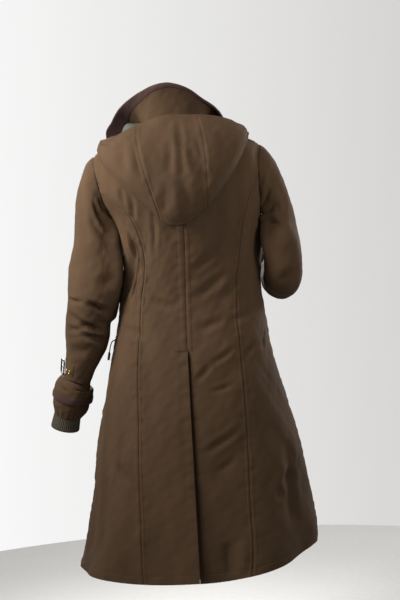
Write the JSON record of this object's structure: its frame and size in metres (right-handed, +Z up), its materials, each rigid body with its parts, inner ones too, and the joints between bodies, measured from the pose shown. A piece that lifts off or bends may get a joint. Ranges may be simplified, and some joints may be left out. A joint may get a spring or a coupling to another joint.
{
  "type": "riding coat",
  "caption": "Long hooded riding coat in a worn pose, hollow, with hanging hood, standing collar, back vent, strapped cuffs and a waist drawcord.",
  "frame": {"origin": "middle of the neck opening at the height of the centre-back neck seam, where a wearer carries it", "axes": "+Z up; the coat faces -Y; the wearer's left is +X"},
  "size_m": [0.6744, 0.578, 1.2186],
  "materials": {
    "coat_cloth": "brushed cotton, bark brown",
    "plum_moleskin": "moleskin, plum brown",
    "rib_knit": "rib knit, olive brown",
    "sage_lining": "plain weave, sage",
    "dark_metal": "dark, satin",
    "brass": "satin",
    "black_cord": "braided, black",
    "cord_end": "black, satin"
  },
  "bodies": {
    "root": {"back_left": "coat_cloth", "back_right": "coat_cloth", "button_1": "dark_metal", "button_2": "dark_metal", "button_3": "dark_metal", "button_4": "dark_metal", "button_5": "dark_metal", "button_6": "dark_metal", "collar": "coat_cloth", "collar_binding": "plum_moleskin", "collar_facing": "plum_moleskin", "cuff_binding_left": "plum_moleskin", "cuff_binding_right": "plum_moleskin", "cuff_buckle_left": "dark_metal", "cuff_buckle_right": "dark_metal", "cuff_eyelet_1_left": "brass", "cuff_eyelet_1_right": "brass", "cuff_eyelet_2_left": "brass", "cuff_eyelet_2_right": "brass", "cuff_strap_left": "coat_cloth", "cuff_strap_right": "coat_cloth", "drawcord": "black_cord", "drawcord_end": "cord_end", "drawcord_eyelet": "brass", "front_fly": "coat_cloth", "front_left": "coat_cloth", "front_right": "coat_cloth", "hood_left": "coat_cloth", "hood_lining": "sage_lining", "hood_middle": "coat_cloth", "hood_right": "coat_cloth", "rib_cuff_left": "rib_knit", "rib_cuff_right": "rib_knit", "side_back_left": "coat_cloth", "side_back_right": "coat_cloth", "sleeve_top_left": "coat_cloth", "sleeve_top_right": "coat_cloth", "sleeve_under_left": "coat_cloth", "sleeve_under_right": "coat_cloth", "storm_cuff_left": "coat_cloth", "storm_cuff_right": "coat_cloth", "vent_underlap": "coat_cloth"}
  },
  "joints": []
}
